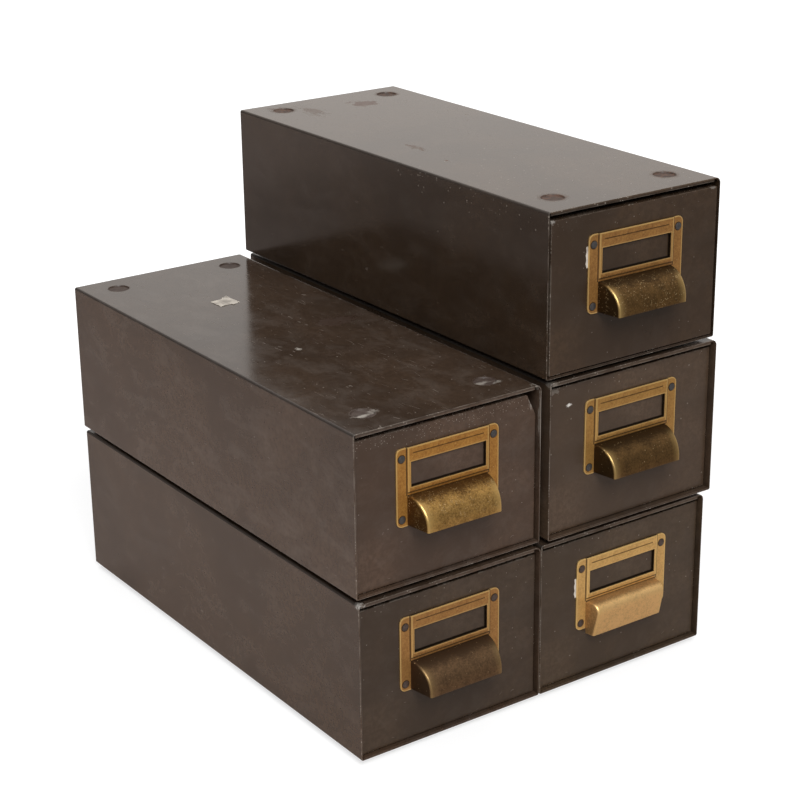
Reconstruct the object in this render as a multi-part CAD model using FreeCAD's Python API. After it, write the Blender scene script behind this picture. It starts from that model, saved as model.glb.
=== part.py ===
"""Stack of five sheet-steel microfiche drawer units, in millimetres.

Each unit is a folded casing with a drawer, a brass label-frame cup pull and an
adjustable follower plate.  Two units stand side by side, two more stand on
them, and a fifth tops the right-hand column.  Pressed feet under each casing
stand in pressed dimples in the top of the casing below.

Frame: +X to the right, +Y to the back, +Z up.  Origin: centre of the stack's
bounding box, at floor level.
"""
import FreeCAD, Part
import math
import os
from FreeCAD import Vector

os.makedirs("parts", exist_ok=True)

overcut = 1.0               # how far a cutting shape runs past the sheet it cuts

# ---------------------------------------------------------------- casing
case_width = 162.0
case_depth = 410.0
case_height = 123.2
case_sheet = 0.9
tight_bend = 1.6            # outer radius of three of the long corners
wide_bend = 4.6             # outer radius of the top right long corner
edge_round = 0.3            # softened front edge of the sleeve
lip_drop = 2.6              # lip turned down along the top of the mouth
lip_start = 1.8             # lip's left end, from the casing's side
lip_end = 6.4               # lip's right end, clear of the wide bend
hem_depth = 8.0             # hem folded back along the front of the floor
hem_end = 2.4               # hem's ends, from the casing's sides

# ---------------------------------------------------------------- stacking
level_gap = 3.8             # daylight between one casing and the next
column_gap = 0.5            # daylight between the two columns
dimple_depth = 1.0
dimple_floor_radius = 8.1
dimple_slope = 0.6          # radius gained from the dimple's floor to its rim
stack_inset_x = 28.0        # foot and dimple centres, from the casing's sides
stack_inset_front = 30.0
stack_inset_back = 24.0
foot_sheet = 0.9
foot_tip_radius = 2.0
foot_radius = 6.6
foot_flange_radius = 10.6
foot_bulge = 0.12            # how far its sloping wall is rounded outwards
foot_height = level_gap + dimple_depth

# ---------------------------------------------------------------- back panel
back_sheet = 0.9
back_inset = 2.0            # panel's rear face, from the casing's rear edge
back_flange = 12.0
back_fit = 0.1
smallest_bend = 0.25

# ---------------------------------------------------------------- drawer front
front_sheet = 0.9
front_side_gap = 1.7        # each side of the front, inside the casing
front_bottom_gap = 1.6      # under the front, above the casing's floor
front_top_gap = 4.0         # between the front and the lip
front_flange = 10.0
front_bend = 0.6
closed_recess = 6.0         # how far the front goes in before the drawer stops
rear_stop_gap = 0.3

# ---------------------------------------------------------------- drawer tray
tray_sheet = 0.8
tray_side_height = 78.0
tray_hem = 7.0              # side's top edge folded down outside
slot_width = 10.0           # follower's slot along the middle of the floor
slot_start = 45.0           # from the drawer's face
slot_end_margin = 45.0      # from the drawer's rear
drawer_back_height = 104.0
drawer_back_flange = 12.0

# ---------------------------------------------------------------- runners and stops
runner_width = 14.0
runner_upright = 1.2
runner_upright_height = 17.0
runner_side_clearance = 0.6
runner_top_clearance = 0.05
runner_front = 22.0
runner_rear_margin = 4.0
stop_tab_y = 55.0
stop_tab_length = 10.0
stop_tab_overlap = 8.0      # how far the tab stands across the lug's height
stop_lug_reach = 1.6
stop_lug_length = 3.0
stop_lug_height = 9.0
stop_lug_margin = 6.0       # lug's rear, from the drawer's rear
stop_lug_clearance = 2.0

# ---------------------------------------------------------------- label frame and cup pull
pull_height = 58.8
pull_sheet = 1.0
pull_corner = 4.6
pull_base_z = 42.1          # above the casing's underside
pull_offset_x = -0.3        # fitted a little left of centre
frame_width = 70.4
frame_raise = 1.0           # raised part, with the card's slot behind it
frame_stile = 2.7           # each side of the window
window_height = 18.6
window_sill = 29.2          # above the pull's lower edge
groove_width = 0.7
groove_depth = 0.4
groove_drop = 4.4           # below the pull's upper edge
groove_margin = 4.5         # each end, from the raised part's sides
hood_top = 22.8             # above the pull's lower edge
hood_draft = 2.8            # each side, over the full depth
hood_edge = 1.7             # rounded edge between the hood and its cheeks
rivet_inset_x = 4.5
rivet_low = 5.6
rivet_high = 51.1
rivet_frame_gap = 2.0       # between a rivet's head and the raised part
rivet_head_radius = 2.7
rivet_head_height = 1.2
rivet_shank_radius = 1.5
rivet_tail_radius = 2.3
rivet_tail_height = 0.7
rivet_fit = 0.05

# run straight out, bend radius, depth at the lip, drop of the lip below the top
sound_hood = {"run": 0.4, "radius": 20.0, "lip_depth": 20.4, "drop": 22.3}
pressed_hood = {"run": 5.4, "radius": 7.4, "lip_depth": 8.2, "drop": 27.0}

# ---------------------------------------------------------------- follower
follower_sheet = 1.2
follower_side_gap = 0.6
follower_floor_gap = 0.1
follower_height = 96.0
follower_corner = 12.0
follower_top_flange = 8.0
follower_rest = 262.0       # plate's face, from the drawer's face
foot_plate_width = 92.0
foot_plate_depth = 58.0
gusset_height = 46.0
guide_fit = 0.3
guide_length = 9.0
guide_margin = 6.0
bolt_radius = 2.0
bolt_hole_fit = 0.2
bolt_y = 30.0               # behind the follower's face
bolt_head_size = 22.0
bolt_head_height = 1.2
bolt_head_gap = 0.1
bolt_tip = 3.0
nut_radius = 9.0
nut_height = 7.0
nut_hub_radius = 5.2
nut_hub_height = 4.0
nut_gap = 0.1
nut_bore_fit = 0.05
nut_grips = 16
nut_grip_radius = 1.1

# ---------------------------------------------------------------- the five units
# left column, then right column, each from the floor up
columns = (("lower_left", "upper_left"), ("lower_right", "middle_right", "top_right"))

# push of the unit sideways and backwards, how far its drawer front sits in,
# and how far its pull was riveted off the usual place, sideways and up
units = {
    "lower_left":
        {"dx": 0.0, "dy": 0.0, "recess": 3.4, "pull_dx": 0.0, "pull_dz": 0.0, "hood": sound_hood},
    "upper_left":
        {"dx": -1.1, "dy": 0.7, "recess": 3.2, "pull_dx": 0.0, "pull_dz": 1.7, "hood": sound_hood},
    "lower_right":
        {"dx": 0.0, "dy": -0.1, "recess": 3.9, "pull_dx": 1.1, "pull_dz": -1.5, "hood": pressed_hood},
    "middle_right":
        {"dx": 3.7, "dy": -2.9, "recess": 4.6, "pull_dx": 0.0, "pull_dz": 0.0, "hood": sound_hood},
    "top_right":
        {"dx": -1.3, "dy": -3.9, "recess": 0.2, "pull_dx": 0.0, "pull_dz": 0.0, "hood": sound_hood},
}

# ---------------------------------------------------------------- sizes that follow
pull_width = frame_width + 2 * (rivet_frame_gap + rivet_head_radius + rivet_inset_x)
window_width = frame_width - 2 * frame_stile
front_left = case_sheet + front_side_gap
front_right = case_width - front_left
front_bottom = case_sheet + front_bottom_gap
front_top = case_height - lip_drop - front_top_gap
tray_left = front_left + front_sheet
tray_right = front_right - front_sheet
tray_bottom = front_bottom + front_sheet
tray_floor = tray_bottom + tray_sheet
drawer_length = (case_depth - back_inset - back_flange - rear_stop_gap - closed_recess)
runner_top = tray_bottom - runner_top_clearance
lug_bottom = runner_top + runner_upright_height + stop_lug_clearance
centre_x = case_width / 2
follower_base = tray_floor + follower_floor_gap
foot_plate_top = follower_base + follower_sheet
nut_base = foot_plate_top + nut_gap


# ---------------------------------------------------------------- small helpers
def block(x0, x1, y0, y1, z0, z1):
    """Box between two corners."""
    return Part.makeBox(x1 - x0, y1 - y0, z1 - z0, Vector(x0, y0, z0))


def mirrored(shape):
    """Copy of a shape on the other side of the unit's middle plane."""
    return shape.mirror(Vector(centre_x, 0, 0), Vector(1, 0, 0))


def corner_arc(centre, radius, start_deg):
    """Quarter arc in the XZ plane, counter-clockwise from start_deg."""
    points = []
    for step in (0, 45, 90):
        angle = math.radians(start_deg + step)
        points.append(centre + Vector(radius * math.cos(angle), 0, radius * math.sin(angle)))
    return Part.Arc(*points).toShape()


def rounded_face(x0, x1, z0, z1, radii, y):
    """Upright face with rounded corners; radii go right top, left top, left bottom, right bottom."""
    corners = ((x1, z1, -1, -1), (x0, z1, 1, -1), (x0, z0, 1, 1), (x1, z0, -1, 1))
    arcs = []
    for number, (x, z, side_x, side_z) in enumerate(corners):
        centre = Vector(x + side_x * radii[number], y, z + side_z * radii[number])
        arcs.append(corner_arc(centre, radii[number], 90 * number))
    edges = []
    for number, arc in enumerate(arcs):
        following = arcs[(number + 1) % len(arcs)]
        edges.append(arc)
        edges.append(Part.LineSegment(arc.Vertexes[-1].Point, following.Vertexes[0].Point).toShape())
    return Part.Face(Part.Wire(edges))


def case_face(inset, y):
    """Casing's cross-section, moved inwards by inset."""
    tight = max(tight_bend - inset, smallest_bend)
    wide = max(wide_bend - inset, smallest_bend)
    return rounded_face(inset, case_width - inset, inset, case_height - inset, (wide, tight, tight, tight), y)


def stack_points():
    """Centres of the four feet, which are also the dimples' centres."""
    points = []
    for x in (stack_inset_x, case_width - stack_inset_x):
        for y in (stack_inset_front, case_depth - stack_inset_back):
            points.append((x, y))
    return points


# ---------------------------------------------------------------- casing and what is fixed in it
def make_casing():
    """Folded sleeve with a lip over the mouth, a hemmed floor and four dimples."""
    outer = case_face(0, 0).extrude(Vector(0, case_depth, 0))
    outer = outer.makeFillet(edge_round, [edge for edge in outer.Edges if edge.BoundBox.YMax < edge_round])
    hollow = case_face(case_sheet, -overcut).extrude(Vector(0, case_depth + 2 * overcut, 0))
    sleeve = outer.cut(hollow)
    lip = block(lip_start, case_width - lip_end, 0, case_sheet,
                case_height - lip_drop, case_height - case_sheet)
    hem = block(hem_end, case_width - hem_end, edge_round, hem_depth, case_sheet, 2 * case_sheet)
    sleeve = sleeve.fuse([lip, hem])
    for x, y in stack_points():
        floor_z = case_height - dimple_depth
        boss = Part.makeCone(dimple_floor_radius + case_sheet,
                             dimple_floor_radius + dimple_slope + case_sheet,
                             dimple_depth, Vector(x, y, floor_z - case_sheet))
        pocket = Part.makeCone(dimple_floor_radius, dimple_floor_radius + dimple_slope,
                               dimple_depth, Vector(x, y, floor_z))
        sleeve = sleeve.fuse(boss).cut(pocket)
    return sleeve.removeSplitter()


def make_back_panel():
    """Flanged pan that closes the rear of the sleeve."""
    rear = case_depth - back_inset
    front = rear - back_flange
    pan = case_face(case_sheet + back_fit, front).extrude(Vector(0, back_flange, 0))
    inside = case_face(case_sheet + back_fit + back_sheet, front - overcut)
    return pan.cut(inside.extrude(Vector(0, back_flange + overcut - back_sheet, 0)))


def make_foot(x, y):
    """Pressed steel cup, open upwards, with a flange against the casing's underside."""
    shoulder = Vector(foot_radius, 0, -foot_sheet)
    tip = Vector(foot_tip_radius, 0, -foot_height)
    inner_tip = Vector(foot_tip_radius, 0, -foot_height + foot_sheet)
    inner_shoulder = Vector(foot_radius - foot_sheet, 0, 0)
    bulge = Vector(foot_bulge, 0, -foot_bulge)
    rim_under = Vector(foot_flange_radius, 0, -foot_sheet)
    rim_over = Vector(foot_flange_radius, 0, 0)
    outline = [
        Part.LineSegment(Vector(0, 0, -foot_height), tip).toShape(),
        Part.Arc(tip, (tip + shoulder) * 0.5 + bulge, shoulder).toShape(),
        Part.LineSegment(shoulder, rim_under).toShape(),
        Part.LineSegment(rim_under, rim_over).toShape(),
        Part.LineSegment(rim_over, inner_shoulder).toShape(),
        Part.Arc(inner_shoulder, (inner_tip + inner_shoulder) * 0.5 + bulge, inner_tip).toShape(),
        Part.LineSegment(inner_tip, Vector(0, 0, -foot_height + foot_sheet)).toShape(),
        Part.LineSegment(Vector(0, 0, -foot_height + foot_sheet), Vector(0, 0, -foot_height)).toShape(),
    ]
    cup = Part.Face(Part.Wire(outline)).revolve(Vector(0, 0, 0), Vector(0, 0, 1), 360)
    cup.translate(Vector(x, y, 0))
    return cup


def make_feet():
    return Part.makeCompound([make_foot(x, y) for x, y in stack_points()])


def make_runners():
    """Pair of drawn angles welded to the floor, each with a stop tab near the mouth."""
    inner = tray_left - runner_side_clearance
    outer = inner - runner_upright
    rear = case_depth - back_inset - back_flange - runner_rear_margin
    upright_top = runner_top + runner_upright_height
    foot = block(outer, outer + runner_width, runner_front, rear, case_sheet, runner_top)
    upright = block(outer, inner, runner_front, rear, runner_top, upright_top)
    tab = block(outer, inner, stop_tab_y, stop_tab_y + stop_tab_length,
                upright_top, lug_bottom + stop_tab_overlap)
    left = foot.fuse([upright, tab]).removeSplitter()
    return Part.makeCompound([left, mirrored(left)])


# ---------------------------------------------------------------- drawer
def make_tray(recess):
    """U-shaped tray with hemmed sides, stop lugs and the follower's slot."""
    front = recess + front_sheet
    rear = recess + drawer_length
    top = tray_floor + tray_side_height
    channel = block(tray_left, tray_right, front, rear, tray_bottom, top)
    channel = channel.cut(block(tray_left + tray_sheet, tray_right - tray_sheet,
                                front - overcut, rear + overcut, tray_floor, top + overcut))
    hem = block(tray_left - tray_sheet, tray_left,
                recess + front_flange + front_bend, rear, top - tray_hem, top)
    lug_rear = rear - stop_lug_margin
    lug = block(tray_left - stop_lug_reach, tray_left, lug_rear - stop_lug_length, lug_rear,
                lug_bottom, lug_bottom + stop_lug_height)
    slot = block(centre_x - slot_width / 2, centre_x + slot_width / 2,
                 recess + slot_start, rear - slot_end_margin, tray_bottom - overcut, tray_floor + overcut)
    return channel.fuse([hem, lug, mirrored(hem), mirrored(lug)]).cut(slot).removeSplitter()


def rivet_points():
    """Centres of the pull's four rivets, in the unit's X and Z."""
    middle = centre_x + pull_offset_x
    points = []
    for side in (-1, 1):
        for height in (rivet_low, rivet_high):
            points.append((middle + side * (pull_width / 2 - rivet_inset_x), pull_base_z + height))
    return points


def rivet_holes(y0, y1):
    """Four clearance holes from y0 to y1."""
    radius = rivet_shank_radius + rivet_fit
    return [Part.makeCylinder(radius, y1 - y0, Vector(x, y0, z), Vector(0, 1, 0)) for x, z in rivet_points()]


def make_drawer_front(recess, pull_shift):
    """Shallow pan with flanges turned back on all four sides, pierced for the pull's rivets."""
    pan = block(front_left, front_right, recess, recess + front_flange, front_bottom, front_top)
    bends = [edge for edge in pan.Edges if edge.BoundBox.YMin < recess + front_bend]
    pan = pan.makeFillet(front_bend, bends)
    pan = pan.cut(block(tray_left, tray_right, recess + front_sheet, recess + front_flange + overcut,
                        tray_bottom, front_top - front_sheet))
    for hole in rivet_holes(recess - overcut, recess + front_sheet + overcut):
        hole.translate(pull_shift)
        pan = pan.cut(hole)
    return pan


def make_drawer_back(recess):
    """Panel across the tray's rear, with flanges turned forwards."""
    rear = recess + drawer_length
    front = rear - drawer_back_flange
    left = tray_left + tray_sheet
    right = tray_right - tray_sheet
    top = tray_floor + drawer_back_height
    panel = block(left, right, front, rear, tray_floor, top)
    return panel.cut(block(left + tray_sheet, right - tray_sheet, front - overcut, rear - tray_sheet,
                           tray_floor - overcut, top - tray_sheet))


# ---------------------------------------------------------------- label frame and cup pull
def hood_solid(hood, inset, face_y):
    """Hood's outside (inset 0) or its hollow (inset one sheet), standing out of face_y."""
    top = pull_base_z + hood_top - inset
    bend_centre_z = pull_base_z + hood_top - hood["radius"]
    radius = hood["radius"] - inset
    bottom = pull_base_z + hood_top - hood["drop"] - inset
    slant = radius * math.sin(math.radians(45))
    x0 = centre_x + pull_offset_x - frame_width / 2
    x1 = x0 + frame_width
    start = Vector(x0, face_y, top)
    run = Vector(x0, face_y - hood["run"], top)
    middle = Vector(x0, run.y - slant, bend_centre_z + slant)
    knee = Vector(x0, run.y - radius, bend_centre_z)
    lip = Vector(x0, face_y - hood["lip_depth"] + inset, bottom)
    wall = Vector(x0, face_y, bottom)
    outline = [
        Part.LineSegment(start, run).toShape(),
        Part.Arc(run, middle, knee).toShape(),
        Part.LineSegment(knee, lip).toShape(),
        Part.LineSegment(lip, wall).toShape(),
        Part.LineSegment(wall, start).toShape(),
    ]
    body = Part.Face(Part.Wire(outline)).extrude(Vector(frame_width, 0, 0))
    reach = sound_hood["run"] + sound_hood["radius"]
    plan = Part.makePolygon([
        Vector(x0 + inset, face_y, bottom),
        Vector(x0 + inset + hood_draft, face_y - reach, bottom),
        Vector(x1 - inset - hood_draft, face_y - reach, bottom),
        Vector(x1 - inset, face_y, bottom),
        Vector(x0 + inset, face_y, bottom),
    ])
    return body.common(Part.Face(plan).extrude(Vector(0, 0, top - bottom)))


def make_pull(recess, hood, pull_shift):
    """Brass plate with a raised card frame, an open window and a cup-shaped hood."""
    middle = centre_x + pull_offset_x
    left = middle - pull_width / 2
    top = pull_base_z + pull_height
    sill = pull_base_z + window_sill
    face_y = recess - pull_sheet
    frame_left = middle - frame_width / 2
    hood_ceiling = pull_base_z + hood_top
    plate = rounded_face(left, left + pull_width, pull_base_z, top, (pull_corner,) * 4, face_y)
    plate = plate.extrude(Vector(0, pull_sheet, 0))
    raised = block(frame_left, frame_left + frame_width, face_y - frame_raise, face_y, hood_ceiling, top)
    outside = hood_solid(hood, 0, face_y)
    rims = [edge for edge in outside.Edges
            if edge.BoundBox.XLength < hood_draft and edge.BoundBox.YLength > edge_round
            and edge.BoundBox.ZMin > outside.BoundBox.ZMin + edge_round
            and edge.BoundBox.YMax - edge.BoundBox.YMin > hood["run"]]
    outside = outside.makeFillet(hood_edge, rims)
    pull = plate.fuse([raised, outside])
    pull = pull.cut(hood_solid(hood, pull_sheet, face_y))
    opening_left = frame_left + pull_sheet
    opening_right = frame_left + frame_width - pull_sheet
    pull = pull.cut(block(opening_left, opening_right, face_y, recess + overcut,
                          pull_base_z - overcut, hood_ceiling - pull_sheet))
    card_slot = block(opening_left, opening_right, face_y, recess + overcut,
                      hood_ceiling + pull_sheet, top + overcut)
    window = block(middle - window_width / 2, middle + window_width / 2,
                   face_y - frame_raise - overcut, recess + overcut, sill, sill + window_height)
    groove = block(frame_left + groove_margin, frame_left + frame_width - groove_margin,
                   face_y - frame_raise - overcut, face_y - frame_raise + groove_depth,
                   top - groove_drop - groove_width, top - groove_drop)
    pull = pull.cut(card_slot).cut(window).cut(groove).cut(rivet_holes(face_y - overcut, recess + overcut))
    pull.translate(pull_shift)
    return pull


def make_rivet(x, z, recess):
    """Domed head in front of the plate, shank through both sheets, flat tail behind."""
    face_y = recess - pull_sheet
    tail_y = recess + front_sheet
    ball_radius = (rivet_head_radius ** 2 + rivet_head_height ** 2) / (2 * rivet_head_height)
    ball = Part.makeSphere(ball_radius, Vector(x, face_y - rivet_head_height + ball_radius, z))
    cap = Part.makeCylinder(rivet_head_radius, rivet_head_height, Vector(x, face_y - rivet_head_height, z),
                            Vector(0, 1, 0))
    head = ball.common(cap)
    shank = Part.makeCylinder(rivet_shank_radius, tail_y - face_y, Vector(x, face_y, z), Vector(0, 1, 0))
    tail = Part.makeCylinder(rivet_tail_radius, rivet_tail_height, Vector(x, tail_y, z), Vector(0, 1, 0))
    return head.fuse([shank, tail])


def make_rivets(recess, pull_shift):
    """The pull's four rivets."""
    rivets = [make_rivet(x, z, recess) for x, z in rivet_points()]
    for rivet in rivets:
        rivet.translate(pull_shift)
    return Part.makeCompound(rivets)


# ---------------------------------------------------------------- follower
def make_follower(recess):
    """Upright plate on a foot plate, with gussets and two guides in the floor's slot."""
    left = tray_left + tray_sheet + follower_side_gap
    right = case_width - left
    face = recess + follower_rest
    behind = face + follower_sheet
    top = follower_base + follower_height
    plate = rounded_face(left, right, follower_base, top,
                         (follower_corner, follower_corner, smallest_bend, smallest_bend), face)
    plate = plate.extrude(Vector(0, follower_sheet, 0))
    stiffener = block(left + follower_corner, right - follower_corner, face, face + follower_top_flange,
                      top - follower_sheet, top)
    foot_left = centre_x - foot_plate_width / 2
    foot = block(foot_left, foot_left + foot_plate_width, face, face + foot_plate_depth,
                 follower_base, foot_plate_top)
    triangle = Part.makePolygon([
        Vector(foot_left, behind, foot_plate_top),
        Vector(foot_left, face + foot_plate_depth, foot_plate_top),
        Vector(foot_left, behind, foot_plate_top + gusset_height),
        Vector(foot_left, behind, foot_plate_top),
    ])
    gusset = Part.Face(triangle).extrude(Vector(follower_sheet, 0, 0))
    guide_reach = slot_width / 2 - guide_fit
    guides = []
    for start in (guide_margin, foot_plate_depth - guide_margin - guide_length):
        guides.append(block(centre_x - guide_reach, centre_x + guide_reach, face + start,
                            face + start + guide_length, tray_bottom, follower_base))
    body = plate.fuse([stiffener, foot, gusset, mirrored(gusset)] + guides).removeSplitter()
    hole = Part.makeCylinder(bolt_radius + bolt_hole_fit, 2 * follower_sheet,
                             Vector(centre_x, face + bolt_y, follower_base - follower_sheet / 2))
    return body.cut(hole)


def make_clamp_bolt(recess):
    """Flat square head under the tray's floor and a shank up through the slot."""
    y = recess + follower_rest + bolt_y
    head_top = tray_bottom - bolt_head_gap
    half = bolt_head_size / 2
    head = block(centre_x - half, centre_x + half, y - half, y + half, head_top - bolt_head_height, head_top)
    shank_top = nut_base + nut_hub_height + nut_height + bolt_tip
    shank = Part.makeCylinder(bolt_radius, shank_top - head_top, Vector(centre_x, y, head_top))
    return head.fuse(shank)


def make_thumb_nut(recess):
    """Hub and gripped disc, threaded on the clamp bolt."""
    y = recess + follower_rest + bolt_y
    disc_z = nut_base + nut_hub_height
    nut = Part.makeCylinder(nut_hub_radius, nut_hub_height, Vector(centre_x, y, nut_base))
    nut = nut.fuse(Part.makeCylinder(nut_radius, nut_height, Vector(centre_x, y, disc_z)))
    for grip in range(nut_grips):
        angle = math.radians(360 * grip / nut_grips)
        place = Vector(centre_x + nut_radius * math.cos(angle), y + nut_radius * math.sin(angle), disc_z)
        nut = nut.cut(Part.makeCylinder(nut_grip_radius, nut_height, place))
    bore = Part.makeCylinder(bolt_radius + nut_bore_fit, nut_hub_height + nut_height,
                             Vector(centre_x, y, nut_base))
    return nut.cut(bore)


# ---------------------------------------------------------------- the stack
def unit_places():
    """Each casing's front left bottom corner, before the stack is centred."""
    found = {}
    for column, names in enumerate(columns):
        for level, name in enumerate(names):
            found[name] = Vector(column * (case_width + column_gap) + units[name]["dx"],
                                 units[name]["dy"],
                                 foot_height + level * (case_height + level_gap))
    return found


def pull_front(unit):
    """Foremost point of a unit, from its casing's front edge."""
    hood = unit["hood"]
    return unit["recess"] - pull_sheet - max(hood["run"] + hood["radius"], hood["lip_depth"])


places = unit_places()
stack_left = min(place.x for place in places.values())
stack_right = max(place.x for place in places.values()) + case_width
stack_front = min(places[name].y + pull_front(unit) for name, unit in units.items())
stack_back = max(place.y for place in places.values()) + case_depth
origin = Vector((stack_left + stack_right) / 2, (stack_front + stack_back) / 2, 0)


def unit_nodes(unit):
    """Every piece of one unit, in the unit's own frame."""
    recess = unit["recess"]
    pull_shift = Vector(unit["pull_dx"], 0, unit["pull_dz"])
    return {
        "casing": make_casing(),
        "casing_back": make_back_panel(),
        "stacking_feet": make_feet(),
        "drawer_runners": make_runners(),
        "drawer_tray": make_tray(recess),
        "drawer_front": make_drawer_front(recess, pull_shift),
        "drawer_back": make_drawer_back(recess),
        "card_frame_pull": make_pull(recess, unit["hood"], pull_shift),
        "pull_rivets": make_rivets(recess, pull_shift),
        "follower_plate": make_follower(recess),
        "follower_bolt": make_clamp_bolt(recess),
        "follower_thumb_nut": make_thumb_nut(recess),
    }


for unit_name, unit in units.items():
    for piece, shape in unit_nodes(unit).items():
        shape.translate(places[unit_name] - origin)
        shape.exportStep(os.path.join("parts", unit_name + "_" + piece + ".step"))
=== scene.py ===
"""Stack of five sheet-steel microfiche drawer units: finishes, pulls, rivets, marks, light and camera.

Metres.  +X to the right, +Y to the back, +Z up, origin under the middle of the stack.
"""
from collections import namedtuple
import math

import bmesh
import bpy
from mathutils import Matrix, Vector, noise


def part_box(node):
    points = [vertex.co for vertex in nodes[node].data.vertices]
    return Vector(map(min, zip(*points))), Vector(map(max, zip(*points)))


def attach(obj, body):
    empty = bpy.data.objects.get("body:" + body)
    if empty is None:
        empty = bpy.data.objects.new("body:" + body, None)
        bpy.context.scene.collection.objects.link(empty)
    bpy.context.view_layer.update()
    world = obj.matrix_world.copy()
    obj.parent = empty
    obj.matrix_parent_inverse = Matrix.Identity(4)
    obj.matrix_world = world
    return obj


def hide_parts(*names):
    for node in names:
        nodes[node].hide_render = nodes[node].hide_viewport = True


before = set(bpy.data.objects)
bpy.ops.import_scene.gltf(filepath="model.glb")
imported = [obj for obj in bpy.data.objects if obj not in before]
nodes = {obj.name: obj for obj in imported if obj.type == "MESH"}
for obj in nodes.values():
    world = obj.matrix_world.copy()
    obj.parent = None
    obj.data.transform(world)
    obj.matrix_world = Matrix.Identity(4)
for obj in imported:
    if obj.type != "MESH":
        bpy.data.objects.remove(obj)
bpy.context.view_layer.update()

# -------- sizes
MM = 0.001
ORIGIN = Vector((0, 0, 0))
UNITS = ("lower_left", "upper_left", "lower_right", "middle_right", "top_right")
CASE = Vector((162.0, 410.0, 123.2)) * MM
LIP_DROP = 2.6 * MM
BEND_GRIME_AND_SHADE_REACH = 1.5 * MM
DIMPLE_SPREAD = Vector((53.0, 178.0, 0.0)) * MM  # dimple centres, each side of their middle
DIMPLE_MIDDLE = Vector((0.0, 3.0, 0.0)) * MM  # that middle, from the casing's middle
DIMPLE_RIM = 8.7 * MM

PLATE_HALF = 44.4 * MM
PLATE_HEIGHT = 58.8 * MM
PLATE_SHEET = 1.0 * MM
PLATE_CORNER = 4.6 * MM
RAISED_HALF = 35.2 * MM
RAISED_HEIGHT = 1.0 * MM
STEP = 0.3 * MM
WINDOW_HALF = 32.5 * MM
WINDOW_SILL = 29.2 * MM
WINDOW_HEAD = 47.8 * MM
WINDOW_HALF_Z = (WINDOW_HEAD - WINDOW_SILL) / 2
WINDOW_MIDDLE = (WINDOW_SILL + WINDOW_HEAD) / 2
LEDGE = 25.6 * MM
LEDGE_HEIGHT = 0.45 * MM
GROOVE_LOW = 53.7 * MM
GROOVE_HIGH = 54.4 * MM
GROOVE_HALF = 30.7 * MM
GROOVE_DEPTH = 0.5 * MM
HOOD_TOP = 22.8 * MM
HOOD_DRAFT = 2.8 * MM
HOOD_REACH = 20.4 * MM
HOOD_EDGE = 1.9 * MM
HOOD_SHEET = 1.0 * MM
HOOD_WAVE = 0.2 * MM
SOUND_HOOD = {"run": 0.4 * MM, "radius": 20.0 * MM, "lip": 20.4 * MM, "drop": 22.3 * MM}
PRESSED_HOOD = {"run": 5.4 * MM, "radius": 7.4 * MM, "lip": 8.2 * MM, "drop": 27.0 * MM}
CUT_EDGE = 0.22 * MM  # softening of the pulls' cut edges

RIVET_X = 39.9 * MM  # rivet centres, each side of the plate's middle
RIVET_Z = 22.75 * MM
RIVET_RISE = -1.05 * MM  # their middle, above the plate's middle
RIVET_HEAD = 2.7 * MM
RIVET_CROWN = 1.2 * MM
RIVET_TAIL = 2.3 * MM
RIVET_TAIL_HEIGHT = 0.7 * MM
RIVET_GRIP = 1.9 * MM  # plate and drawer front together
RIVET_SHANK = 1.5 * MM
RIVET_HAMMERING = 0.09 * MM

FOLD_WIDTH = 8.2 * MM  # knocked-in corner of the upper left drawer front
FOLD_HEIGHT = 17.0 * MM
FOLD_ANGLE = math.radians(80)

PAPER_SHEET = 0.08  # thickness and outlines of the torn labels, in mm
TORN_LABEL = (
    (-11.2, 102.8), (-7.6, 103.6), (-2.1, 104), (0.2, 103.8), (1.3, 107), (3.2, 107.5), (7.1, 109), (7, 102.6),
    (7.4, 94.4), (7.8, 88.3), (4.2, 87.8), (0.3, 86), (-0.6, 88.6), (-4, 88.2), (-8.2, 87.5), (-10.3, 87.1),
    (-10.7, 91.8), (-11, 97.9))
LABEL_EDGE = ((-1.9, 0), (-1.4, -3), (-2.1, -6), (-1.6, -9.5), (-2.2, -12), (-1.2, -15.5), (0.8, -15), (0.8, 0.5))
LABEL_EDGE_DROPS = {"top_right": 8.5 * MM, "lower_right": 15.0 * MM}  # below the top of the pull plate


def unit_middle(unit):
    """Middle of a unit's casing."""
    low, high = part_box(unit + "_casing")
    return (low + high) / 2


def pull_place(unit):
    """Pull plate's middle across, its face and its lower edge."""
    low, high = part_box(unit + "_card_frame_pull")
    return (low.x + high.x) / 2, high.y - PLATE_SHEET, high.z - PLATE_HEIGHT


# -------- node trees
class Value:
    """A node's output, which can be reckoned with like a number, or like a place if it is one."""

    def __init__(self, wiring, socket):
        self.wiring, self.socket = wiring, socket

    def __rsub__(self, number):
        return self.wiring.math("SUBTRACT", number, self)


def reckon(operation):
    return lambda first, second=None: first.wiring.math(operation, first, second)


for sign, operation in (("add", "ADD"), ("sub", "SUBTRACT"), ("mul", "MULTIPLY"), ("truediv", "DIVIDE"),
                        ("gt", "GREATER_THAN"), ("lt", "LESS_THAN"), ("abs", "ABSOLUTE")):
    setattr(Value, "__" + sign + "__", reckon(operation))


class Outputs:
    """A node's outputs, by name or by number."""

    def __init__(self, wiring, sockets):
        self.wiring, self.sockets = wiring, sockets

    def __getitem__(self, key):
        return Value(self.wiring, self.sockets[key])


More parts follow.
